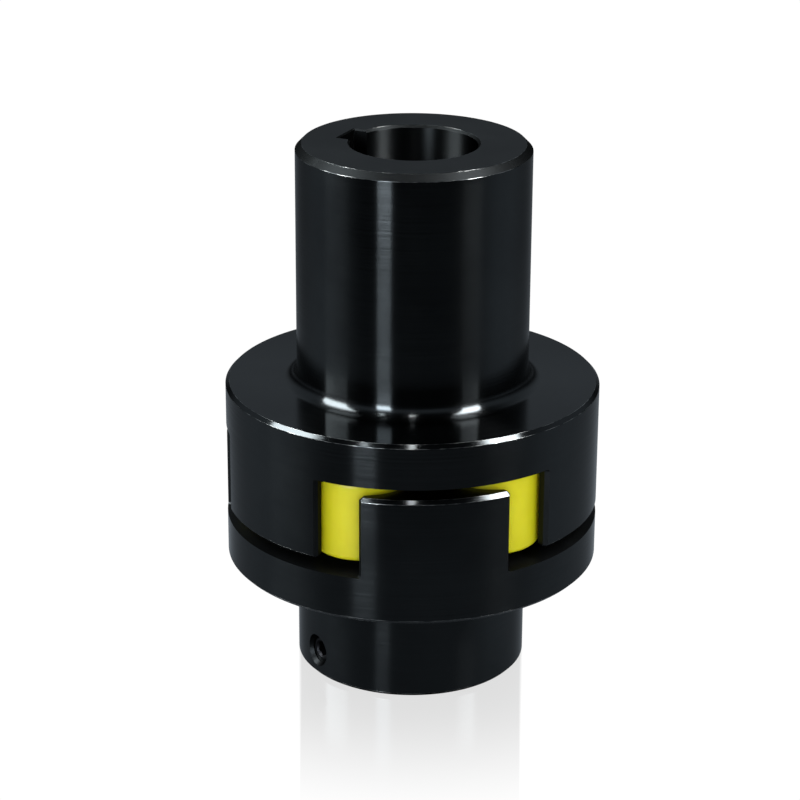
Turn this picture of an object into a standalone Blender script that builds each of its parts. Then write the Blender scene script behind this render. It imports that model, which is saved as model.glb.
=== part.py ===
"""Jaw coupling: two steel hubs with interleaved jaws, a six-lobed elastomer spider and two set screws.

The coupling stands on the short hub's end face, with its axis along +Z and the origin on that face.
Metres throughout. Run with: blender --background --python part.py
"""

from math import acos, asin, atan2, cos, pi, radians, sin, sqrt

import bmesh
import bpy
from mathutils import Matrix, Vector

MM = 0.001

# Overall size, which follows the usual series for this coupling's flange diameter.
FLANGE_R = 52.5 * MM
BOSS_R = 32.5 * MM
BORE_R = 17.5 * MM
FLANGE_T = 12.7 * MM
SHORT_BOSS_L = 32.1 * MM
LONG_BOSS_L = 67.8 * MM
HUB_GAP = 26.7 * MM

# Jaws and the pockets between them. The circle of a pocket's flank is centred on a petal's own ray.
JAWS = 3
JAW_L = 23.4 * MM
JAW_INNER_R = 31.0 * MM
POCKET_AXIS_R = 36.0 * MM
POCKET_R = 14.3 * MM
LIP_HALF_GAP = 6.0 * MM

# Spider. Its lobes and its ring clear the pockets and the jaws by at least the fit gap, and it sits
# nearer the long hub than the short one.
PETALS = 2 * JAWS
PETAL_AXIS_R = 35.5 * MM
PETAL_R = 13.6 * MM
FIT_GAP = 0.4 * MM
SPIDER_T = 23.0 * MM
SPIDER_LIFT = 2.9 * MM
SPIDER_HOLE_R = 25.5 * MM

# Edge breaks and the root fillet.
LONG_END_CHAMFER = 1.8 * MM
SHORT_END_CHAMFER = 1.0 * MM
FLANGE_CHAMFER = 1.0 * MM
BORE_CHAMFER = 0.7 * MM
ROOT_FILLET_R = 3.6 * MM

# Keyway for a 10 mm wide key, and the set screw over it. The keyway lies a few degrees from the
# middle of a gap between two jaws.
KEYWAY_W = 10.0 * MM
KEYWAY_FLOOR_R = 20.8 * MM
KEYWAY_FROM_GAP = radians(2.5)
SCREW_R = 3.85 * MM
SCREW_L = 10.0 * MM
SCREW_CHAMFER = 0.7 * MM
SCREW_HOLE_R = 4.15 * MM
SCREW_HOLE_CHAMFER = 0.4 * MM
SCREW_FROM_END = 7.5 * MM
SCREW_INNER_END_R = 21.0 * MM
HEX_ACROSS_FLATS = 4.0 * MM
HEX_DEPTH = 4.5 * MM

# How finely round shapes are cut.
TURN_STEPS = 72
POCKET_STEPS = 14
PETAL_STEPS = 20
SMALL_STEPS = 24
FILLET_STEPS = 5
RIM_STEPS = 8
CUT_OVER = 2.0 * MM
MERGE = 0.00001
SHARP_ANGLE = radians(30)

# In each hub's own frame, one jaw is centred on -Y and the keyway is beside the gap to its left.
FIRST_JAW_ANGLE = -pi / 2
GAP_ANGLE = FIRST_JAW_ANGLE - pi / JAWS


def clear_scene():
    for obj in list(bpy.data.objects):
        bpy.data.objects.remove(obj, do_unlink=True)


def new_collection(name, parent):
    collection = bpy.data.collections.new(name)
    parent.children.link(collection)
    return collection


def material(name, colour, metallic, roughness):
    mat = bpy.data.materials.new(name)
    mat.use_nodes = True
    shader = mat.node_tree.nodes["Principled BSDF"]
    shader.inputs["Base Color"].default_value = (*colour, 1.0)
    shader.inputs["Metallic"].default_value = metallic
    shader.inputs["Roughness"].default_value = roughness
    return mat


def arc(centre, radius, start, end, steps):
    """Points along an arc in a plane, both ends included."""
    turns = [start + (end - start) * i / steps for i in range(steps + 1)]
    return [(centre[0] + radius * cos(a), centre[1] + radius * sin(a)) for a in turns]


def on_axis(angle, along, across):
    """The plan point at a distance along a ray from the coupling's axis, and across it to the left."""
    return (along * cos(angle) - across * sin(angle), along * sin(angle) + across * cos(angle))


def link_mesh(name, mesh, collection, mat=None):
    obj = bpy.data.objects.new(name, mesh)
    collection.objects.link(obj)
    if mat:
        mesh.materials.append(mat)
    return obj


def turned(name, profile, steps, collection, mat=None):
    """A closed profile of (radius, height) points, running down its outer side, turned about Z."""
    mesh = bpy.data.meshes.new(name)
    points = [(radius, 0.0, height) for radius, height in profile]
    edges = [(i, (i + 1) % len(points)) for i in range(len(points))]
    mesh.from_pydata(points, edges, [])
    obj = link_mesh(name, mesh, collection, mat)
    screw = obj.modifiers.new("Turn", "SCREW")
    screw.axis = "Z"
    screw.angle = 2 * pi
    screw.steps = steps
    screw.render_steps = steps
    screw.use_merge_vertices = True
    screw.merge_threshold = MERGE
    return obj


def flat_outline(name, loops, bottom, top, collection):
    """A 2D curve through closed loops of plan points, thickened from bottom to top."""
    curve = bpy.data.curves.new(name, "CURVE")
    curve.dimensions = "2D"
    curve.fill_mode = "BOTH"
    curve.extrude = (top - bottom) / 2
    for loop in loops:
        spline = curve.splines.new("POLY")
        spline.points.add(len(loop) - 1)
        for point, (x, y) in zip(spline.points, loop):
            point.co = (x, y, 0.0, 1.0)
        spline.use_cyclic_u = True
    obj = bpy.data.objects.new(name, curve)
    obj.location.z = (top + bottom) / 2
    collection.objects.link(obj)
    return obj


def made_mesh(curve_obj):
    """Replaces a curve object by a closed mesh of the same shape in the same place."""
    bpy.context.view_layer.update()
    name = curve_obj.name
    collection = curve_obj.users_collection[0]
    graph = bpy.context.evaluated_depsgraph_get()
    mesh = bpy.data.meshes.new_from_object(curve_obj.evaluated_get(graph))
    bm = bmesh.new()
    bm.from_mesh(mesh)
    bmesh.ops.remove_doubles(bm, verts=bm.verts, dist=MERGE)
    bmesh.ops.recalc_face_normals(bm, faces=bm.faces)
    bm.to_mesh(mesh)
    bm.free()
    place = curve_obj.matrix_world.copy()
    bpy.data.objects.remove(curve_obj, do_unlink=True)
    obj = link_mesh(name, mesh, collection)
    obj.matrix_world = place
    return obj


def cylinder(name, radius, bottom, top, sides, collection):
    mesh = bpy.data.meshes.new(name)
    bm = bmesh.new()
    middle = Matrix.Translation((0.0, 0.0, (top + bottom) / 2))
    bmesh.ops.create_cone(
        bm,
        cap_ends=True,
        segments=sides,
        radius1=radius,
        radius2=radius,
        depth=top - bottom,
        matrix=middle,
    )
    bm.to_mesh(mesh)
    bm.free()
    return link_mesh(name, mesh, collection)


def block(name, size, centre, collection):
    mesh = bpy.data.meshes.new(name)
    bm = bmesh.new()
    bmesh.ops.create_cube(bm, size=1.0, matrix=Matrix.Translation(centre) @ Matrix.Diagonal((*size, 1.0)))
    bm.to_mesh(mesh)
    bm.free()
    return link_mesh(name, mesh, collection)


def cut(obj, cutter):
    cutter.hide_render = True
    cutter.display_type = "WIRE"
    boolean = obj.modifiers.new("Cut " + cutter.name, "BOOLEAN")
    boolean.operation = "DIFFERENCE"
    boolean.solver = "EXACT"
    boolean.object = cutter


def gap_outline():
    """The plan of what is milled away between two jaws, for a gap whose middle lies along +X.

    Each end of the gap is a pocket's flank, with a narrower lip at the rim and a broken outer corner.
    """
    half = []
    petal_angle = -pi / PETALS
    corner = FLANGE_CHAMFER + CUT_OVER
    rim = sqrt(FLANGE_R**2 - (LIP_HALF_GAP + FLANGE_CHAMFER) ** 2) - FLANGE_CHAMFER
    half.append(on_axis(petal_angle, rim + corner, -LIP_HALF_GAP - corner))
    half.append(on_axis(petal_angle, rim, -LIP_HALF_GAP))
    lip_turn = asin(LIP_HALF_GAP / POCKET_R)
    inside = JAW_INNER_R - FIT_GAP
    root_turn = acos((inside**2 - POCKET_AXIS_R**2 - POCKET_R**2) / (2 * POCKET_AXIS_R * POCKET_R))
    flank = arc((POCKET_AXIS_R, 0.0), POCKET_R, -lip_turn, -root_turn, POCKET_STEPS)
    half += [on_axis(petal_angle, along, across) for along, across in flank]
    other_half = [(x, -y) for x, y in reversed(half)]
    outside = Vector(half[0])
    rim_turn = atan2(outside.y, outside.x)
    beyond_rim = arc((0.0, 0.0), outside.length, -rim_turn, rim_turn, RIM_STEPS)
    return half + other_half + beyond_rim[1:-1]


def petal_outline():
    """The spider's outer edge: a lobe on each petal's axis and the ring between lobes."""
    ring_r = JAW_INNER_R - FIT_GAP
    turn = acos((ring_r**2 - PETAL_AXIS_R**2 - PETAL_R**2) / (2 * PETAL_AXIS_R * PETAL_R))
    points = []
    for petal in range(PETALS):
        angle = petal * 2 * pi / PETALS
        lobe = arc((PETAL_AXIS_R, 0.0), PETAL_R, -turn, turn, PETAL_STEPS)
        points += [on_axis(angle, along, across) for along, across in lobe]
        middle_of_ring = angle + pi / PETALS
        points.append((ring_r * cos(middle_of_ring), ring_r * sin(middle_of_ring)))
    return points


def hub_profile(boss_length, end_chamfer):
    """Half section of a hub before its gaps are milled, from the jaw tips down the outer side."""
    face = boss_length + FLANGE_T
    tip = face + JAW_L
    fillet_centre = (BOSS_R + ROOT_FILLET_R, boss_length - ROOT_FILLET_R)
    outer = [
        (JAW_INNER_R, tip),
        (FLANGE_R - FLANGE_CHAMFER, tip),
        (FLANGE_R, tip - FLANGE_CHAMFER),
        (FLANGE_R, boss_length + FLANGE_CHAMFER),
        (FLANGE_R - FLANGE_CHAMFER, boss_length),
    ]
    fillet = arc(fillet_centre, ROOT_FILLET_R, pi / 2, pi, FILLET_STEPS)
    end = [
        (BOSS_R, end_chamfer),
        (BOSS_R - end_chamfer, 0.0),
        (BORE_R + BORE_CHAMFER, 0.0),
    ]
    bore = [
        (BORE_R, BORE_CHAMFER),
        (BORE_R, face - BORE_CHAMFER),
        (BORE_R + BORE_CHAMFER, face),
        (JAW_INNER_R, face),
    ]
    return outer + fillet + end + bore


def make_hub(name, boss_length, end_chamfer, keyway_angle, mat, collection, cutters):
    """A hub in its own frame: end face at z = 0, jaws pointing up."""
    hub = turned(name, hub_profile(boss_length, end_chamfer), TURN_STEPS, collection, mat)
    face = boss_length + FLANGE_T
    for jaw in range(JAWS):
        cutter_name = f"{name}_gap_{jaw + 1}"
        outline = flat_outline(cutter_name, [gap_outline()], face, face + JAW_L + CUT_OVER, cutters)
        cutter = made_mesh(outline)
        cutter.rotation_euler.z = FIRST_JAW_ANGLE + (2 * jaw + 1) * pi / JAWS
        cutter.parent = hub
        cut(hub, cutter)

    keyway_size = (KEYWAY_FLOOR_R, KEYWAY_W, face + 2 * CUT_OVER)
    keyway = block(f"{name}_keyway", keyway_size, (KEYWAY_FLOOR_R / 2, 0.0, face / 2), cutters)
    keyway.rotation_euler.z = keyway_angle
    keyway.parent = hub
    cut(hub, keyway)

    mouth = SCREW_HOLE_R + SCREW_HOLE_CHAMFER + CUT_OVER
    hole_profile = [
        (mouth, BOSS_R + CUT_OVER),
        (SCREW_HOLE_R, BOSS_R - SCREW_HOLE_CHAMFER),
        (SCREW_HOLE_R, BORE_R),
        (0.0, BORE_R),
        (0.0, BOSS_R + CUT_OVER),
    ]
    hole = turned(f"{name}_screw_hole", hole_profile, SMALL_STEPS, cutters)
    hole.matrix_local = radial_place(keyway_angle, 0.0, SCREW_FROM_END)
    hole.parent = hub
    cut(hub, hole)
    return hub


def radial_place(angle, distance, height):
    """The matrix that puts a piece's +Z outward along a ray from the coupling's axis."""
    outward = Matrix.Rotation(angle, 4, "Z") @ Matrix.Rotation(pi / 2, 4, "Y")
    start = Vector((distance * cos(angle), distance * sin(angle), height))
    return Matrix.Translation(start) @ outward


def make_spider(mat, collection):
    bottom = SHORT_BOSS_L + FLANGE_T + SPIDER_LIFT
    hole = arc((0.0, 0.0), SPIDER_HOLE_R, 0.0, 2 * pi, TURN_STEPS)[:-1]
    outline = flat_outline("spider", [petal_outline(), hole], bottom, bottom + SPIDER_T, collection)
    spider = made_mesh(outline)
    spider.data.materials.append(mat)
    spider.data.shade_smooth()
    spider.data.set_sharp_from_angle(angle=SHARP_ANGLE)


def make_set_screw(name, mat, collection, cutters):
    """A socket set screw along its own Z, its flat point at z = 0 and its hex socket at the top."""
    profile = [
        (0.0, SCREW_L),
        (SCREW_R - SCREW_CHAMFER, SCREW_L),
        (SCREW_R, SCREW_L - SCREW_CHAMFER),
        (SCREW_R, SCREW_CHAMFER),
        (SCREW_R - SCREW_CHAMFER, 0.0),
        (0.0, 0.0),
    ]
    screw = turned(name, profile, SMALL_STEPS, collection, mat)
    hex_r = HEX_ACROSS_FLATS / 2 / cos(pi / 6)
    socket = cylinder(f"{name}_socket", hex_r, SCREW_L - HEX_DEPTH, SCREW_L + CUT_OVER, 6, cutters)
    socket.parent = screw
    cut(screw, socket)
    return screw


def build():
    clear_scene()
    coupling = new_collection("Jaw coupling", bpy.context.scene.collection)
    cutters = new_collection("Cutters", bpy.context.scene.collection)

    hub_steel = material("Blackened hub steel", (0.012, 0.013, 0.015), 0.85, 0.28)
    elastomer = material("Yellow elastomer", (0.72, 0.66, 0.03), 0.0, 0.45)
    screw_steel = material("Blackened screw steel", (0.010, 0.010, 0.011), 0.85, 0.35)

    short_keyway = GAP_ANGLE - KEYWAY_FROM_GAP
    long_keyway = GAP_ANGLE + KEYWAY_FROM_GAP
    sizes = {
        "short_hub": (SHORT_BOSS_L, SHORT_END_CHAMFER, short_keyway),
        "long_hub": (LONG_BOSS_L, LONG_END_CHAMFER, long_keyway),
    }
    hubs = {}
    for name, (boss_length, end_chamfer, keyway_angle) in sizes.items():
        hub = make_hub(name, boss_length, end_chamfer, keyway_angle, hub_steel, coupling, cutters)
        screw = make_set_screw(f"{name}_set_screw", screw_steel, coupling, cutters)
        screw.parent = hub
        screw.matrix_local = radial_place(keyway_angle, SCREW_INNER_END_R, SCREW_FROM_END)
        hubs[name] = hub
    make_spider(elastomer, coupling)

    # The long hub is turned over about X, which also puts its jaws between the short hub's.
    total = SHORT_BOSS_L + LONG_BOSS_L + 2 * FLANGE_T + HUB_GAP
    hubs["long_hub"].rotation_euler.x = pi
    hubs["long_hub"].location.z = total
    bpy.context.view_layer.update()


build()
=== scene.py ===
"""Looks of the jaw coupling: detailed hubs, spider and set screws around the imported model.

Metres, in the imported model's frame: the axis is +Z and the short hub's end face is at z = 0.
"""

from math import acos, asin, atan2, ceil, cos, floor, hypot, pi, radians, sin, sqrt, tan

import bmesh
import bpy
from mathutils import Matrix, Vector


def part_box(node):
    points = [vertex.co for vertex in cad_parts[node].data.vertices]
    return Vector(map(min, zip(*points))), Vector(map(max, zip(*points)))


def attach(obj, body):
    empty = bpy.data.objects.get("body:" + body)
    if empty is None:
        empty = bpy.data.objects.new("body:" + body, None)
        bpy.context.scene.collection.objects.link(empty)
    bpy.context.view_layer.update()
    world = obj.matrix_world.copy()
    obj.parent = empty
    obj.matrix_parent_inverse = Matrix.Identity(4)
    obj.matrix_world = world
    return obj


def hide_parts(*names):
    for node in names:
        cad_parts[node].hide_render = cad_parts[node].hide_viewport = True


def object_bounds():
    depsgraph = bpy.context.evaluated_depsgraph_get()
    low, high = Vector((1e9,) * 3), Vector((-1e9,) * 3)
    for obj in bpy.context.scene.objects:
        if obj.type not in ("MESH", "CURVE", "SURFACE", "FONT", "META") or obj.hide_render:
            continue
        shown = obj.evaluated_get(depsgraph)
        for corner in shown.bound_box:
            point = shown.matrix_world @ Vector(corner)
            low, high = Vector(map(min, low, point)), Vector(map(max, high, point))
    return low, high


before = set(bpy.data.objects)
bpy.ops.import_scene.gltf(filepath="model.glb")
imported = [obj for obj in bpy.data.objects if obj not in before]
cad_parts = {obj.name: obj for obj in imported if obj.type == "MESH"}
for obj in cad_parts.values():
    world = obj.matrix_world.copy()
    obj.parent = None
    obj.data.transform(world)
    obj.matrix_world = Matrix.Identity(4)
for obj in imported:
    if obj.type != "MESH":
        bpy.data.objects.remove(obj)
cad_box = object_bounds()

MM = 0.001

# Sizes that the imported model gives.
FLANGE_R = cad_box[1].x
TOTAL_L = cad_box[1].z
SHORT_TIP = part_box("short_hub")[1].z
LONG_TIP = TOTAL_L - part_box("long_hub")[0].z
SPIDER_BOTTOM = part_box("spider")[0].z
SPIDER_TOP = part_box("spider")[1].z

# Sizes repeated from the CAD model.
BOSS_R = 32.5 * MM
BORE_R = 17.5 * MM
FLANGE_T = 12.7 * MM
JAWS = 3
JAW_L = 23.4 * MM
JAW_INNER_R = 31.0 * MM
PETALS = 2 * JAWS
POCKET_AXIS_R = 36.0 * MM
POCKET_R = 14.3 * MM
LIP_HALF_GAP = 6.0 * MM
PETAL_AXIS_R = 35.5 * MM
PETAL_R = 13.6 * MM
FIT_GAP = 0.4 * MM
SPIDER_HOLE_R = 25.5 * MM
LONG_END_CHAMFER = 1.8 * MM
SHORT_END_CHAMFER = 1.0 * MM
FLANGE_CHAMFER = 1.0 * MM
BORE_CHAMFER = 0.7 * MM
ROOT_FILLET_R = 3.6 * MM
KEYWAY_W = 10.0 * MM
KEYWAY_FLOOR_R = 20.8 * MM
KEYWAY_FROM_GAP = radians(2.5)
FIRST_JAW_ANGLE = -pi / 2
GAP_ANGLE = FIRST_JAW_ANGLE - pi / JAWS
SCREW_FROM_END = 7.5 * MM
SCREW_INNER_END_R = 21.0 * MM
SCREW_OUTER_END_R = 31.0 * MM
HEX_ACROSS_FLATS = 4.0 * MM
HEX_DEPTH = 4.5 * MM

# Fine shape that only the looks need.
EDGE_R = 0.15 * MM
EDGE_SUPPORT = 0.15 * MM
JAW_TOP_CHAMFER = 0.8 * MM
JAW_ROOT_FILLET = 0.8 * MM
JAW_INNER_CORNER = 0.7 * MM
FACE_CORNER_R = 0.5 * MM
KEYWAY_CORNER_R = 0.4 * MM
KEYWAY_END_CHAMFER = 0.4 * MM
THREAD_PITCH = 1.25 * MM
SCREW_MAJOR_R = 3.9 * MM
HOLE_MAJOR_R = 4.1 * MM
THREAD_DEPTH = 0.7 * MM
HOLE_MOUTH_R = 4.75 * MM
SCREW_END_CHAMFER = 0.8 * MM
BLANK_OVER = 0.02 * MM
CUP_R = 2.1 * MM
CUP_LIP = 0.3 * MM
CUP_DEPTH = 0.9 * MM
SOCKET_LEAD_IN = 0.3 * MM
SOCKET_POINT_L = 0.8 * MM
WEB_FILLET_R = 1.5 * MM
PETAL_EDGE_R = 1.6 * MM
CUT_OVER = 1.0 * MM
TIP_OVER = 0.3 * MM

# A thread's crest and root: each point's place along one pitch, and whether it is on the crest.
THREAD_PATTERN = [(-1 / 16, True), (1 / 16, True), (6 / 16, False), (10 / 16, False)]

# How finely round shapes are made.
TURN_STEPS = 288
FINE_TURN = radians(5)
EDGE_TURN = radians(15)
POCKET_STEPS = 40
THREAD_STEPS = 48
SMALL_STEPS = 72
MERGE = 0.000001
SHARP_ANGLE = radians(28)

# How a turned face's finish is told from its slope and place.
UPRIGHT_SLOPE = 0.02
FLAT_SLOPE = 0.999
SLOPE_SLACK = 0.01
FILLET_SLACK = 1.1

# Colours, before a finish's tone makes them darker. The low tones of the bore, the end chamfers and the
# tapped recesses are painted shade.
WHITE = (1.0, 1.0, 1.0)
TURNED_DARK = (0.027, 0.029, 0.030)
TURNED_LIGHT = (0.036, 0.039, 0.040)
TURNED_HIGHLIGHT = (0.7, 0.7, 0.7)
BARE_METAL = (0.45, 0.45, 0.44)
MILLED_DARK = (0.016, 0.017, 0.018)
MILLED_LIGHT = (0.026, 0.028, 0.029)
MILLED_HIGHLIGHT = (0.5, 0.5, 0.5)
SCREW_DARK = (0.006, 0.006, 0.007)
SCREW_LIGHT = (0.012, 0.012, 0.013)
YELLOW_DEEP = (0.66, 0.610, 0.008)
YELLOW_LIGHT = (0.72, 0.675, 0.014)
STUDIO_TINT = (0.86, 0.98, 1.10)
NOISE_MIDDLE = (0.3, 0.7)
COARSE_RING_SHARE = 0.6

# The camera: its place round the axis, its distance from it, its height, its aim and its lens in mm.
CAMERA_ANGLE = radians(-97.5)
AWAY = 0.6951
CAMERA_HEIGHT = 0.3455
CAMERA_PITCH = radians(21.13)
CAMERA_TURN = radians(0.286)
CAMERA_ROLL = radians(0.298)
LENS = 118.9
SENSOR_W = 36.0

# The stage and the lights. A light's turn is from the camera's side, positive to its right.
LIGHTS_AIM = Vector((0.0, 0.0, 0.09))
LIGHT_DISTANCE = 1.2
FLOOR_R = 4.0
FLOOR_BELOW = 0.0001
BACKDROP_R = 4.5
WHITE_GLOW = 1.02
STREAK_GLOW = 0.73
STREAK_START_R = 0.030
STREAK_END_R = 0.112
STREAK_HALF_W = 0.0318
STREAK_EDGE = 0.0012
STREAK_NARROWING = 0.047


# ---------------------------------------------------------------- shapes


def arc(centre, radius, start, end, step=FINE_TURN):
    """Points along an arc in a plane, both ends included."""
    count = max(1, ceil(abs(end - start) / step - 0.001))
    turns = [start + (end - start) * i / count for i in range(count + 1)]
    return [(centre[0] + radius * cos(a), centre[1] + radius * sin(a)) for a in turns]


def on_axis(angle, along, across):
    """The plan point at a distance along a ray from the coupling's axis, and across it to the left."""
    return (along * cos(angle) - across * sin(angle), along * sin(angle) + across * cos(angle))


def rounded(corners):
    """A closed outline of corners (x, y, radius), rounded, with a point close to each arc end."""
    points = []
    for i, (x, y, radius) in enumerate(corners):
        corner = Vector((x, y))
        if radius == 0.0:
            points.append((x, y))
            continue
        to_before = (Vector(corners[i - 1][:2]) - corner).normalized()
        to_after = (Vector(corners[(i + 1) % len(corners)][:2]) - corner).normalized()
        half = acos(max(-1.0, min(1.0, to_before.dot(to_after)))) / 2
        reach = radius / tan(half)
        centre = corner + (to_before + to_after).normalized() * (radius / sin(half))
        first = corner + to_before * reach - centre
        last = corner + to_after * reach - centre
        start = atan2(first.y, first.x)
        sweep = atan2(first.x * last.y - first.y * last.x, first.dot(last))
        step = EDGE_TURN if radius < 1.0 * MM else FINE_TURN
        points.append(tuple(corner + to_before * (reach + EDGE_SUPPORT)))
        points += arc(centre, radius, start, start + sweep, step)
        points.append(tuple(corner + to_after * (reach + EDGE_SUPPORT)))
    return points


def linked(name, mesh):
    obj = bpy.data.objects.new(name, mesh)
    bpy.context.scene.collection.objects.link(obj)
    return obj


def turned(name, profile, steps):
    """A closed profile of (radius, height) points, running down its outer side, turned about Z."""
    mesh = bpy.data.meshes.new(name)
    points = [(radius, 0.0, height) for radius, height in profile]
    mesh.from_pydata(points, [(i, (i + 1) % len(points)) for i in range(len(points))], [])
    obj = linked(name, mesh)
    screw = obj.modifiers.new("Turn", "SCREW")
    screw.axis = "Z"
    screw.angle = 2 * pi
    screw.steps = screw.render_steps = steps
    screw.use_merge_vertices = True
    screw.merge_threshold = MERGE
    return obj


def loft(name, rings, closed=False):
    """A solid through rings of points: capped at both ends, or closed on itself like a tyre."""
    mesh = bpy.data.meshes.new(name)
    bm = bmesh.new()
    rows = [[bm.verts.new(point) for point in ring] for ring in rings]
    count = len(rows[0])
    pairs = list(zip(rows, rows[1:]))
    if closed:
        pairs.append((rows[-1], rows[0]))
    for lower, upper in pairs:
        for i in range(count):
            j = (i + 1) % count
            bm.faces.new((lower[i], lower[j], upper[j], upper[i]))
    if not closed:
        bm.faces.new(rows[0][::-1])
        bm.faces.new(rows[-1])
    bmesh.ops.recalc_face_normals(bm, faces=bm.faces)
    bm.to_mesh(mesh)
    bm.free()
    return linked(name, mesh)


def at_height(outline, height):
    return [(x, y, height) for x, y in outline]


def threaded_rod(name, major, bottom, top):
    """A closed right-handed thread along Z that covers the stretch from bottom to top.

    Its points lie on helices, so each column of points is one row pattern lower at the start of a turn
    than at its end, and the last column joins the first one a pitch higher.
    """
    minor = major - THREAD_DEPTH
    pattern = [(fraction, major if crest else minor) for fraction, crest in THREAD_PATTERN]
    first_turn = floor(bottom / THREAD_PITCH) - 1
    turns = ceil(top / THREAD_PITCH) + 1 - first_turn
    rows = turns * len(pattern)
    bm = bmesh.new()
    columns = []
    for i in range(THREAD_STEPS):
        share = i / THREAD_STEPS
        extra = len(pattern) if i == 0 else 0
        column = []
        for row in range(rows + extra):
            fraction, radius = pattern[row % len(pattern)]
            height = (first_turn + row // len(pattern) + fraction + share) * THREAD_PITCH
            turn = 2 * pi * share
            column.append(bm.verts.new((radius * cos(turn), radius * sin(turn), height)))
        columns.append(column)
    columns.append(columns[0][len(pattern):])
    for column, after in zip(columns, columns[1:]):
        for row in range(rows - 1):
            bm.faces.new((column[row], after[row], after[row + 1], column[row + 1]))
    for row in (0, rows - 1):
        step_back = range(row + len(pattern), row, -1)
        rim = [column[row] for column in columns[:-1]] + [columns[0][r] for r in step_back]
        middle = bm.verts.new((0.0, 0.0, sum(v.co.z for v in rim) / len(rim)))
        for a, b in zip(rim, rim[1:] + rim[:1]):
            bm.faces.new((a, b, middle))
    bmesh.ops.recalc_face_normals(bm, faces=bm.faces)
    mesh = bpy.data.meshes.new(name)
    bm.to_mesh(mesh)
    bm.free()
    return linked(name, mesh)


def combine(obj, other, operation="DIFFERENCE"):
    boolean = obj.modifiers.new(other.name, "BOOLEAN")
    boolean.operation = operation
    boolean.solver = "EXACT"
    boolean.material_mode = "TRANSFER"
    boolean.object = other


def finished(obj, tools):
    """Applies an object's modifiers, removes the tools that shaped it, and shades it."""
    bpy.context.view_layer.update()
    graph = bpy.context.evaluated_depsgraph_get()
    mesh = bpy.data.meshes.new_from_object(obj.evaluated_get(graph))
    obj.modifiers.clear()
    obj.data = mesh
    for tool in tools:
        bpy.data.objects.remove(tool, do_unlink=True)
    mesh.shade_smooth()
    mesh.set_sharp_from_angle(angle=SHARP_ANGLE)
    return obj


def radial_place(angle, height):
    """The matrix that puts a piece's +Z outward along a ray from the coupling's axis."""
    outward = Matrix.Rotation(angle, 4, "Z") @ Matrix.Rotation(pi / 2, 4, "Y")
    return Matrix.Translation((0.0, 0.0, height)) @ outward


# ---------------------------------------------------------------- hubs


def hub_profile(boss_length, end_chamfer):
    """Half section of a hub before its gaps are milled, from the jaw tips down the outer side."""
    face = boss_length + FLANGE_T
    tip = face + JAW_L
    return rounded(
        [
            (JAW_INNER_R, tip - JAW_TOP_CHAMFER, EDGE_R),
            (JAW_INNER_R + JAW_TOP_CHAMFER, tip, EDGE_R),
            (FLANGE_R - FLANGE_CHAMFER, tip, EDGE_R),
            (FLANGE_R, tip - FLANGE_CHAMFER, EDGE_R),
            (FLANGE_R, boss_length + FLANGE_CHAMFER, EDGE_R),
            (FLANGE_R - FLANGE_CHAMFER, boss_length, EDGE_R),
            (BOSS_R, boss_length, ROOT_FILLET_R),
            (BOSS_R, end_chamfer, EDGE_R),
            (BOSS_R - end_chamfer, 0.0, EDGE_R),
            (BORE_R + BORE_CHAMFER, 0.0, EDGE_R),
            (BORE_R, BORE_CHAMFER, EDGE_R),
            (BORE_R, face - BORE_CHAMFER, EDGE_R),
            (BORE_R + BORE_CHAMFER, face, EDGE_R),
            (JAW_INNER_R, face, FACE_CORNER_R),
        ]
    )


def gap_outline(grow):
    """The plan of the space between two jaws, its middle along +X, grown sideways by grow.

    Each end is a petal's pocket, then the lip that closes in at the rim, then the lip's broken corner.
    """
    petal_angle = -pi / PETALS
    pocket = POCKET_R + grow
    lip = LIP_HALF_GAP + grow
    corner = FLANGE_CHAMFER + 2 * CUT_OVER
    rim = sqrt(FLANGE_R**2 - (LIP_HALF_GAP + FLANGE_CHAMFER) ** 2) - FLANGE_CHAMFER
    rim -= (sqrt(2) - 1) * grow
    inner = JAW_INNER_R + JAW_INNER_CORNER
    lip_turn = asin(lip / pocket)
    root_turn = acos((inner**2 - POCKET_AXIS_R**2 - pocket**2) / (2 * POCKET_AXIS_R * pocket))
    step = (root_turn - lip_turn) / POCKET_STEPS
    flank = arc((POCKET_AXIS_R, 0.0), pocket, -lip_turn, -root_turn, step)
    half = [on_axis(petal_angle, rim + corner, -lip - corner), on_axis(petal_angle, rim, -lip)]
    half += [on_axis(petal_angle, along, across) for along, across in flank]
    root = Vector(half[-1])
    inward = -root.normalized()
    towards_gap = Vector((-inward.y, inward.x))
    half.append(tuple(root + (inward + towards_gap) * 2 * JAW_INNER_CORNER))
    outside = Vector(half[0])
    rim_turn = atan2(outside.y, outside.x)
    beyond_rim = arc((0.0, 0.0), outside.length, -rim_turn, rim_turn)
    other_half = [(x, -y) for x, y in reversed(half)]
    return half + other_half + beyond_rim[1:-1]


def gap_tool(name, face, angle, milled):
    """Mills one gap: a filleted floor, upright flanks and a chamfer along the jaws' tips."""
    tip = face + JAW_L
    rings = []
    fillet = arc((-JAW_ROOT_FILLET, JAW_ROOT_FILLET), JAW_ROOT_FILLET, -pi / 2, 0.0, EDGE_TURN)
    for along, up in fillet:
        rings.append(at_height(gap_outline(along), face + up))
    rings.append(at_height(gap_outline(0.0), face + JAW_ROOT_FILLET + EDGE_SUPPORT))
    rings.append(at_height(gap_outline(0.0), tip - JAW_TOP_CHAMFER))
    rings.append(at_height(gap_outline(JAW_TOP_CHAMFER + TIP_OVER), tip + TIP_OVER))
    tool = loft(name, rings)
    tool.data.materials.append(milled)
    tool.rotation_euler.z = angle
    return tool


def keyway_outline(grow):
    half = KEYWAY_W / 2 + grow
    floor_r = KEYWAY_FLOOR_R + grow
    return rounded(
        [
            (BORE_R / 2, -half, 0.0),
            (floor_r, -half, KEYWAY_CORNER_R),
            (floor_r, half, KEYWAY_CORNER_R),
            (BORE_R / 2, half, 0.0),
        ]
    )


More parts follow.
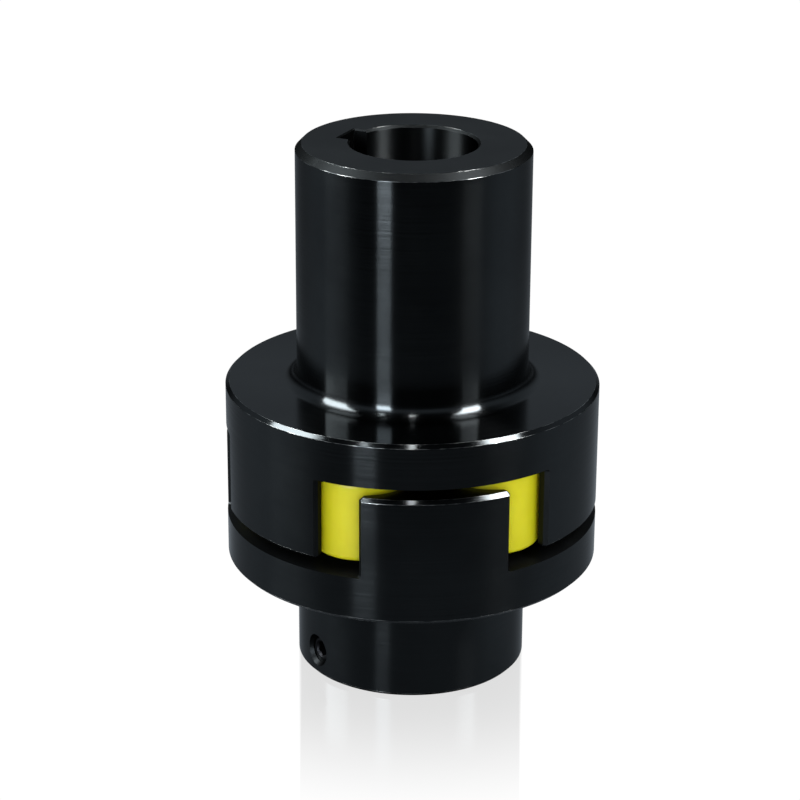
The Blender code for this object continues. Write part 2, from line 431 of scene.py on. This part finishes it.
def keyway_tool(name, face, angle, finish):
    over = KEYWAY_END_CHAMFER + CUT_OVER
    rings = [
        at_height(keyway_outline(over), -CUT_OVER),
        at_height(keyway_outline(0.0), KEYWAY_END_CHAMFER),
        at_height(keyway_outline(0.0), face - KEYWAY_END_CHAMFER),
        at_height(keyway_outline(over), face + CUT_OVER),
    ]
    tool = loft(name, rings)
    tool.data.materials.append(finish)
    tool.rotation_euler.z = angle
    return tool


def turned_surface(normal, middle, boss_length):
    """Which finish a face that the lathe left has, from its direction and its place."""
    radius = hypot(middle.x, middle.y)
    steepness = abs(normal.z)
    # Faces in the bore get a finish whose colour is darkened as painted shade.
    if radius < BORE_R + EDGE_R / 2:
        return "bored"
    if steepness < UPRIGHT_SLOPE:
        return "wall"
    if steepness > FLAT_SLOPE:
        return "end_face" if middle.z < boss_length / 2 else "flange_face"
    on_chamfer = abs(steepness - sqrt(0.5)) < SLOPE_SLACK
    # The end chamfers and the bore mouth chamfers get a finish whose colour is darkened as painted
    # shade.
    if on_chamfer and (radius < BORE_R + BORE_CHAMFER or middle.z < LONG_END_CHAMFER):
        return "end_chamfer"
    near_flange = abs(middle.z - boss_length) < FILLET_SLACK * ROOT_FILLET_R
    on_fillet = near_flange and radius < BOSS_R + ROOT_FILLET_R
    return "edge" if on_fillet or on_chamfer else "worn"


def hub_piece(name, tip, end_chamfer, keyway_angle, finishes):
    """A hub in its own frame: end face at z = 0, jaws pointing up."""
    face = tip - JAW_L
    boss_length = face - FLANGE_T
    milled = finishes["milled"]
    # The tapped finish of the keyway and the set screw hole is darkened as painted shade.
    tapped = finishes["tapped"]
    hub = turned(name, hub_profile(boss_length, end_chamfer), TURN_STEPS)
    hub.data.materials.append(finishes["wall"])
    tools = []
    for gap in range(JAWS):
        angle = FIRST_JAW_ANGLE + (2 * gap + 1) * pi / JAWS
        tools.append(gap_tool(f"{name}_gap_{gap + 1}", face, angle, milled))
    tools.append(keyway_tool(f"{name}_keyway", face, keyway_angle, tapped))

    mouth = HOLE_MOUTH_R + CUT_OVER
    cone = [
        (mouth, BOSS_R + CUT_OVER),
        (0.0, BOSS_R - HOLE_MOUTH_R),
        (0.0, BOSS_R + CUT_OVER),
    ]
    tools.append(turned(f"{name}_hole_mouth", cone, SMALL_STEPS))
    thread_ends = (BORE_R - 2 * CUT_OVER, BOSS_R + CUT_OVER)
    tools.append(threaded_rod(f"{name}_thread", HOLE_MAJOR_R, *thread_ends))
    for tool in tools[-2:]:
        tool.data.materials.append(tapped)
        tool.matrix_world = radial_place(keyway_angle, SCREW_FROM_END)
    for tool in tools:
        combine(hub, tool)
    finished(hub, tools)

    cut_slots = {hub.data.materials.find(finish.name) for finish in (milled, tapped)}
    slots = {"wall": 0}
    for surface in ("bored", "edge", "worn", "end_chamfer", "end_face", "flange_face"):
        slots[surface] = len(hub.data.materials)
        hub.data.materials.append(finishes[surface])
    for polygon in hub.data.polygons:
        if polygon.material_index not in cut_slots:
            surface = turned_surface(polygon.normal, polygon.center, boss_length)
            polygon.material_index = slots[surface]
    return hub


# ---------------------------------------------------------------- set screws


def screw_piece(name, steel):
    """A cup-point set screw along +Z, as far from the origin as from the coupling's axis."""
    bottom = SCREW_INNER_END_R
    top = SCREW_OUTER_END_R
    widest = SCREW_MAJOR_R + BLANK_OVER
    blank_profile = [
        (0.0, top),
        (widest - SCREW_END_CHAMFER, top),
        (widest, top - SCREW_END_CHAMFER),
        (widest, bottom + SCREW_END_CHAMFER),
        (CUP_R + CUP_LIP, bottom),
        (CUP_R, bottom),
        (0.0, bottom + CUP_DEPTH),
    ]
    blank = turned(f"{name}_blank", blank_profile, SMALL_STEPS)
    hex_r = HEX_ACROSS_FLATS / 2 / cos(pi / 6)
    corners = [(cos(i * pi / 3), sin(i * pi / 3)) for i in range(6)]
    sizes = ((hex_r / 4, HEX_DEPTH + SOCKET_POINT_L), (hex_r, HEX_DEPTH), (hex_r, -CUT_OVER))
    socket_rings = [[(x * r, y * r, top - depth) for x, y in corners] for r, depth in sizes]
    socket = loft(f"{name}_socket", socket_rings)
    lead_in_r = hex_r + SOCKET_LEAD_IN
    lead_in_profile = [
        (lead_in_r, top + CUT_OVER),
        (lead_in_r, top),
        (0.0, top - lead_in_r),
        (0.0, top + CUT_OVER),
    ]
    lead_in = turned(f"{name}_lead_in", lead_in_profile, SMALL_STEPS)
    screw = threaded_rod(name, SCREW_MAJOR_R, bottom - CUT_OVER, top + CUT_OVER)
    for piece in (screw, blank, socket, lead_in):
        piece.data.materials.append(steel)
    combine(screw, blank, "INTERSECT")
    combine(screw, socket)
    combine(screw, lead_in)
    return finished(screw, [blank, socket, lead_in])


# ---------------------------------------------------------------- spider


def spider_outline(inset):
    """The spider's outer edge, drawn in by inset: lobes, ring and the fillets between them."""
    ring = JAW_INNER_R - FIT_GAP
    centre_r = ring + WEB_FILLET_R
    centre_to_lobe = PETAL_R + WEB_FILLET_R
    turn_cosine = PETAL_AXIS_R**2 + centre_r**2 - centre_to_lobe**2
    turn_cosine /= 2 * PETAL_AXIS_R * centre_r
    turn = acos(turn_cosine)
    centre = (centre_r * cos(turn), centre_r * sin(turn))
    lobe_turn = atan2(centre[1], centre[0] - PETAL_AXIS_R)
    fillet = arc(centre, WEB_FILLET_R + inset, lobe_turn - pi, turn - pi)
    half = arc((PETAL_AXIS_R, 0.0), PETAL_R - inset, 0.0, lobe_turn) + fillet[1:]
    half += arc((0.0, 0.0), ring - inset, turn, pi / PETALS)[1:]
    other_half = [(x, -y) for x, y in reversed(half)][1:]
    petal = other_half[:-1] + half
    points = []
    for i in range(PETALS):
        points += [on_axis(i * 2 * pi / PETALS, along, across) for along, across in petal]
    return points


def hole_outline(count, grow):
    start = -pi / PETALS
    radius = SPIDER_HOLE_R + grow
    turns = [start + 2 * pi * i / count for i in range(count)]
    return [(radius * cos(a), radius * sin(a)) for a in turns]


def spider_piece(name, elastomer):
    """Rings that go round the outer edge upwards, across the top, down the hole and back underneath."""
    count = len(spider_outline(0.0))
    r = PETAL_EDGE_R
    lower = arc((r, SPIDER_BOTTOM + r), r, -pi / 2, -pi, EDGE_TURN)
    upper = arc((r, SPIDER_TOP - r), r, pi, pi / 2, EDGE_TURN)
    section = [(r + EDGE_SUPPORT, SPIDER_BOTTOM)] + lower
    section += [(0.0, SPIDER_BOTTOM + r + EDGE_SUPPORT), (0.0, SPIDER_TOP - r - EDGE_SUPPORT)]
    section += upper + [(r + EDGE_SUPPORT, SPIDER_TOP)]
    rings = [at_height(spider_outline(inset), height) for inset, height in section]
    rings += [at_height(hole_outline(count, inset), height) for inset, height in reversed(section)]
    spider = loft(name, rings, closed=True)
    spider.data.materials.append(elastomer)
    return finished(spider, [])


# ---------------------------------------------------------------- materials


class Nodes:
    """Adds nodes to a tree and links them, to keep the material functions short."""

    def __init__(self, tree):
        self.tree = tree

    def feed(self, node, inputs):
        """Links each input to a socket, or sets it to a value."""
        for key, value in inputs.items():
            if isinstance(value, bpy.types.NodeSocket):
                self.tree.links.new(value, node.inputs[key])
            else:
                node.inputs[key].default_value = value

    def add(self, kind, inputs=None, **settings):
        node = self.tree.nodes.new("ShaderNode" + kind)
        for key, value in settings.items():
            setattr(node, key, value)
        self.feed(node, inputs or {})
        return node

    def maths(self, operation, a, b=0.0):
        return self.add("Math", {0: a, 1: b}, operation=operation).outputs[0]

    def dot(self, vector, direction):
        inputs = {0: vector, 1: direction}
        return self.add("VectorMath", inputs, operation="DOT_PRODUCT").outputs["Value"]

    def noise(self, vector, scale, detail=2.0, roughness=0.5):
        inputs = {"Vector": vector, "Scale": scale, "Detail": detail, "Roughness": roughness}
        return self.add("TexNoise", inputs).outputs[0]

    def bump(self, height, depth):
        inputs = {"Strength": 1.0, "Distance": depth, "Height": height}
        return self.add("Bump", inputs).outputs[0]

    def ranged(self, value, low, high, out_low, out_high, **settings):
        inputs = {0: value, 1: low, 2: high, 3: out_low, 4: out_high}
        return self.add("MapRange", inputs, **settings).outputs[0]

    def smooth(self, value, low, high, out_low, out_high):
        return self.ranged(value, low, high, out_low, out_high, interpolation_type="SMOOTHSTEP")

    def spread(self, noise, out_low, out_high):
        """Stretches the middle of a noise, where nearly all of it lies, to another range."""
        return self.ranged(noise, *NOISE_MIDDLE, out_low, out_high)

    def mixed(self, factor, a, b):
        return self.add("Mix", {0: factor, 6: a, 7: b}, data_type="RGBA").outputs[2]

    def glow(self, strength):
        return self.add("Emission", {"Color": shade(WHITE), "Strength": strength}).outputs[0]


def shade(colour, tone=1.0):
    red, green, blue = colour
    return (red * tone, green * tone, blue * tone, 1.0)


def new_material(name):
    mat = bpy.data.materials.new(name)
    mat.use_nodes = True
    tree = mat.node_tree
    return mat, Nodes(tree), tree.nodes["Principled BSDF"]


def new_emitter(name):
    """A material for the stage, with no shader yet."""
    mat = bpy.data.materials.new(name)
    mat.use_nodes = True
    mat.node_tree.nodes.clear()
    return mat, Nodes(mat.node_tree)


def turned_steel(name, roughness, ring_depth, anisotropic=1.0, tone=1.0, bare=0.0):
    """Blackened steel straight off a lathe: fine rings round the axis, and bare metal if worn."""
    mat, nodes, shader = new_material(name)
    place = nodes.add("TexCoord").outputs["Object"]
    xyz = nodes.add("SeparateXYZ", {0: place}).outputs
    squares = [nodes.maths("POWER", xyz[axis], 2.0) for axis in (0, 1)]
    radius = nodes.maths("SQRT", nodes.maths("ADD", *squares))
    section = nodes.add("CombineXYZ", {0: radius, 2: xyz[2]}).outputs[0]
    fine = nodes.noise(section, scale=1700.0, detail=2.0, roughness=0.6)
    coarse = nodes.noise(section, scale=420.0, detail=1.0)
    smudges = nodes.noise(place, scale=38.0, detail=4.0, roughness=0.6)

    smudged = nodes.spread(smudges, 0.0, 1.0)
    colour = nodes.mixed(smudged, shade(TURNED_DARK, tone), shade(TURNED_LIGHT, tone))
    if bare:
        patches = nodes.noise(place, scale=260.0, detail=3.0, roughness=0.7)
        wear = nodes.ranged(patches, 0.42, 0.62, 0.0, bare)
        colour = nodes.mixed(wear, colour, shade(BARE_METAL))
    height = nodes.maths("ADD", fine, nodes.maths("MULTIPLY", coarse, COARSE_RING_SHARE))
    smudged_rough = nodes.spread(smudges, roughness * 0.92, roughness * 1.08)
    rough = nodes.maths("ADD", smudged_rough, nodes.spread(fine, -0.01, 0.01))
    tangent = nodes.add("Tangent", direction_type="RADIAL", axis="Z").outputs[0]
    nodes.feed(
        shader,
        {
            "Base Color": colour,
            "Roughness": rough,
            "Normal": nodes.bump(height, ring_depth),
            "Tangent": tangent,
            "Metallic": 1.0,
            "Anisotropic": anisotropic,
            "Anisotropic Rotation": 0.25,
            "Specular Tint": shade(TURNED_HIGHLIGHT, tone),
        },
    )
    return mat


def milled_steel(name, tone=1.0):
    """Blackened steel in the gaps, keyways and threads: finer, duller and without rings."""
    mat, nodes, shader = new_material(name)
    place = nodes.add("TexCoord").outputs["Object"]
    stretched = nodes.add("Mapping", {"Vector": place, "Scale": (1.0, 1.0, 0.12)}).outputs[0]
    strokes = nodes.noise(stretched, scale=2200.0, detail=2.0, roughness=0.6)
    smudges = nodes.noise(place, scale=60.0, detail=4.0, roughness=0.6)
    nodes.feed(
        shader,
        {
            "Base Color": nodes.mixed(smudges, shade(MILLED_DARK, tone), shade(MILLED_LIGHT, tone)),
            "Roughness": nodes.spread(smudges, 0.36, 0.46),
            "Normal": nodes.bump(strokes, 0.005 * MM),
            "Metallic": 1.0,
            "Specular Tint": shade(MILLED_HIGHLIGHT, tone),
        },
    )
    return mat


def screw_steel(name):
    """Blackened alloy steel of the set screws, with a slight grain."""
    mat, nodes, shader = new_material(name)
    place = nodes.add("TexCoord").outputs["Object"]
    grain = nodes.noise(place, scale=3500.0, detail=3.0, roughness=0.6)
    nodes.feed(
        shader,
        {
            "Base Color": nodes.mixed(grain, shade(SCREW_DARK), shade(SCREW_LIGHT)),
            "Roughness": nodes.spread(grain, 0.40, 0.50),
            "Normal": nodes.bump(grain, 0.004 * MM),
            "Metallic": 1.0,
        },
    )
    return mat


def spider_elastomer(name):
    """Cast polyurethane: satin, slightly see-through at thin edges, with clouds and a fine skin."""
    mat, nodes, shader = new_material(name)
    place = nodes.add("TexCoord").outputs["Object"]
    clouds = nodes.noise(place, scale=90.0, detail=3.0, roughness=0.5)
    skin = nodes.noise(place, scale=1500.0, detail=3.0, roughness=0.6)
    clouded = nodes.spread(clouds, 0.0, 1.0)
    nodes.feed(
        shader,
        {
            "Base Color": nodes.mixed(clouded, shade(YELLOW_DEEP), shade(YELLOW_LIGHT)),
            "Roughness": nodes.spread(skin, 0.36, 0.46),
            "Normal": nodes.bump(skin, 0.012 * MM),
            "Subsurface Weight": 0.7,
            "Subsurface Radius": (1.0, 0.8, 0.15),
            "Subsurface Scale": 0.006,
            "Specular IOR Level": 0.3,
        },
    )
    return mat


# ---------------------------------------------------------------- the object


def hub_finishes():
    """The finish of each kind of surface that a hub has: name, roughness and depth of its rings. Some
    are darkened as painted shade.
    """
    return {
        "wall": turned_steel("turned_wall_steel", 0.15, 0.022 * MM),
        # The bore's colour is darkened to a third: painted shade inside the bore.
        "bored": turned_steel("bored_steel_painted_shade", 0.42, 0.006 * MM, tone=0.3),
        "edge": turned_steel("turned_edge_steel", 0.17, 0.002 * MM),
        "worn": turned_steel("worn_edge_steel", 0.30, 0.002 * MM, bare=0.6),
        # The end chamfers' colour is darkened to about a quarter: painted shade, for chamfers that
        # catch little light.
        "end_chamfer": turned_steel(
            "end_chamfer_steel_painted_shade", 0.46, 0.004 * MM, anisotropic=0.0, tone=0.27
        ),
        "end_face": turned_steel("end_face_steel", 0.36, 0.006 * MM, anisotropic=0.0, tone=0.95),
        "flange_face": turned_steel("flange_face_steel", 0.13, 0.002 * MM),
        "milled": milled_steel("blackened_milled_steel"),
        # The keyway and the set screw holes take the milled colours darkened to about a third: painted
        # shade in these recesses.
        "tapped": milled_steel("tapped_steel_painted_shade", tone=0.35),
    }


def build_object():
    finishes = hub_finishes()
    screw_finish = screw_steel("blackened_screw_steel")
    elastomer = spider_elastomer("yellow_polyurethane")

    upright = Matrix.Identity(4)
    turned_over = Matrix.Translation((0.0, 0.0, TOTAL_L)) @ Matrix.Rotation(pi, 4, "X")
    hubs = {
        "short_hub": (SHORT_TIP, SHORT_END_CHAMFER, GAP_ANGLE - KEYWAY_FROM_GAP, upright),
        "long_hub": (LONG_TIP, LONG_END_CHAMFER, GAP_ANGLE + KEYWAY_FROM_GAP, turned_over),
    }
    for body, (tip, end_chamfer, keyway_angle, place) in hubs.items():
        hub = hub_piece(f"{body}_detailed", tip, end_chamfer, keyway_angle, finishes)
        hub.matrix_world = place
        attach(hub, body)
        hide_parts(body)
        screw = screw_piece(f"{body}_set_screw_detailed", screw_finish)
        screw.matrix_world = place @ radial_place(keyway_angle, SCREW_FROM_END)
        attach(screw, f"{body}_set_screw")
        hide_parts(f"{body}_set_screw")

    spider = spider_piece("spider_detailed", elastomer)
    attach(spider, "spider")
    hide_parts("spider")


# ---------------------------------------------------------------- stage, lights and camera


def towards(turn, elevation):
    """The unit direction at a turn from the camera's side of the axis and an elevation, in degrees."""
    angle = CAMERA_ANGLE + radians(turn)
    flat = cos(radians(elevation))
    return Vector((flat * cos(angle), flat * sin(angle), sin(radians(elevation))))


def softbox(name, turn, elevation, width, height, radiance, colour=WHITE, lean=0.0):
    """A rectangular light that faces the object, leaning to its own left by an angle in degrees.

    It shows in reflections only, because only the front fill lights the yellow.
    """
    light = bpy.data.lights.new(name, "AREA")
    light.shape = "RECTANGLE"
    light.size = width
    light.size_y = height
    light.color = colour
    light.energy = radiance * pi * width * height
    obj = linked(name, light)
    direction = towards(turn, elevation)
    obj.location = LIGHTS_AIM + direction * LIGHT_DISTANCE
    facing = direction.to_track_quat("Z", "Y").to_matrix().to_4x4()
    obj.rotation_euler = (facing @ Matrix.Rotation(radians(lean), 4, "Z")).to_euler()
    obj.visible_camera = False
    obj.visible_diffuse = False
    return obj


def build_floor():
    """A pale floor with a faint grey streak on the line from the camera through the axis.

    The streak stands for the boss's mirror image. It fades out with distance from the axis, and
    narrows slightly towards the camera.
    """
    mesh = bpy.data.meshes.new("floor")
    bm = bmesh.new()
    bmesh.ops.create_circle(bm, cap_ends=True, segments=96, radius=FLOOR_R)
    bm.to_mesh(mesh)
    bm.free()
    floor_obj = linked("floor", mesh)
    floor_obj.location.z = -FLOOR_BELOW
    floor_obj.visible_glossy = False

    mat, nodes = new_emitter("floor_white")
    place = nodes.add("TexCoord").outputs["Object"]
    radius = nodes.add("VectorMath", {0: place}, operation="LENGTH").outputs["Value"]
    across = nodes.dot(place, towards(90, 0))
    narrowing = nodes.maths("MULTIPLY", nodes.dot(place, towards(0, 0)), STREAK_NARROWING)
    aside = nodes.maths("ADD", nodes.maths("ABSOLUTE", across), narrowing)
    beside = nodes.smooth(aside, STREAK_HALF_W, STREAK_HALF_W + STREAK_EDGE, 0.0, 1.0)
    beyond = nodes.smooth(radius, STREAK_START_R, STREAK_END_R, 0.0, 1.0)
    gloss = nodes.add("BsdfGlossy", {"Color": shade(WHITE, 0.12), "Roughness": 0.15}).outputs[0]
    streak = nodes.add("AddShader", {0: nodes.glow(STREAK_GLOW), 1: gloss}).outputs[0]
    mixing = {0: nodes.maths("MAXIMUM", beyond, beside), 1: streak, 2: nodes.glow(WHITE_GLOW)}
    nodes.add("OutputMaterial", {"Surface": nodes.add("MixShader", mixing).outputs[0]})
    mesh.materials.append(mat)


def build_backdrop():
    """A pale dome behind everything, which only the camera sees."""
    mesh = bpy.data.meshes.new("backdrop")
    bm = bmesh.new()
    bmesh.ops.create_uvsphere(bm, u_segments=48, v_segments=24, radius=BACKDROP_R)
    bm.to_mesh(mesh)
    bm.free()
    dome = linked("backdrop", mesh)
    dome.visible_diffuse = False
    dome.visible_glossy = False
    dome.visible_shadow = False
    dome.visible_transmission = False
    mat, nodes = new_emitter("backdrop_white")
    nodes.add("OutputMaterial", {"Surface": nodes.glow(WHITE_GLOW)})
    mesh.materials.append(mat)


def build_world():
    """The studio that the steel mirrors, by a direction's upward part and its part to the camera.

    Above the horizon there is a grey band under a dark ceiling. Below it the sides are lighter than
    the front and the back, and the steepest directions are an even grey.
    """
    world = bpy.data.worlds.new("studio")
    world.use_nodes = True
    nodes = Nodes(world.node_tree)
    direction = nodes.add("TexCoord").outputs["Generated"]
    up = nodes.add("SeparateXYZ", {0: direction}).outputs[2]
    to_camera = nodes.dot(direction, towards(0, 0))

    under_ceiling = nodes.smooth(up, 0.55, 0.85, 1.0, 0.06)
    band = nodes.maths("MULTIPLY", nodes.smooth(up, 0.12, 0.42, 0.0, 0.45), under_ceiling)
    off_front = nodes.smooth(to_camera, 0.68, -0.05, 0.0, 0.40)
    off_back = nodes.smooth(to_camera, -0.20, -0.80, 1.0, 0.35)
    not_steep = nodes.smooth(up, -0.45, -0.40, 0.0, 1.0)
    sides = nodes.maths("MULTIPLY", nodes.maths("MULTIPLY", off_front, off_back), not_steep)
    steep = nodes.smooth(up, -0.33, -0.40, 0.02, 0.24)
    below_horizon = nodes.smooth(up, 0.12, -0.05, 0.0, 1.0)
    low = nodes.maths("MULTIPLY", nodes.maths("ADD", sides, steep), below_horizon)
    strength = nodes.maths("MAXIMUM", band, low)
    background = world.node_tree.nodes["Background"]
    nodes.feed(background, {"Strength": strength, "Color": shade(STUDIO_TINT)})
    bpy.context.scene.world = world


def build_lights():
    softbox("left_softbox", -88, 37, 0.52, 0.82, 30.0, (0.93, 0.98, 1.0), lean=26)
    softbox("right_softbox", 69, 45, 0.34, 0.92, 42.0, (0.97, 0.99, 1.0), lean=-26)
    softbox("front_strip_high", -47, 64, 0.07, 0.10, 40.0, (0.93, 0.98, 1.0))
    softbox("front_strip", -27, 12, 0.27, 0.66, 31.0, (0.85, 0.93, 1.0))
    softbox("overhead_spot", 0, 69, 0.06, 0.07, 110.0)
    fill = softbox("front_fill", 8, 12, 1.6, 0.9, 2.5)
    fill.visible_diffuse = True
    fill.visible_glossy = False


def build_camera():
    camera = bpy.data.cameras.new("camera")
    camera.lens = LENS
    camera.sensor_width = SENSOR_W
    obj = linked("camera", camera)
    obj.location = (AWAY * cos(CAMERA_ANGLE), AWAY * sin(CAMERA_ANGLE), CAMERA_HEIGHT)
    turn = Matrix.Rotation(CAMERA_ANGLE + pi / 2 + CAMERA_TURN, 4, "Z")
    looking = turn @ Matrix.Rotation(pi / 2 - CAMERA_PITCH, 4, "X")
    obj.rotation_euler = (looking @ Matrix.Rotation(CAMERA_ROLL, 4, "Z")).to_euler()
    bpy.context.scene.camera = obj


def set_view():
    settings = bpy.context.scene.view_settings
    settings.view_transform = "Standard"
    settings.look = "None"


build_object()
build_floor()
build_backdrop()
build_world()
build_lights()
build_camera()
set_view()
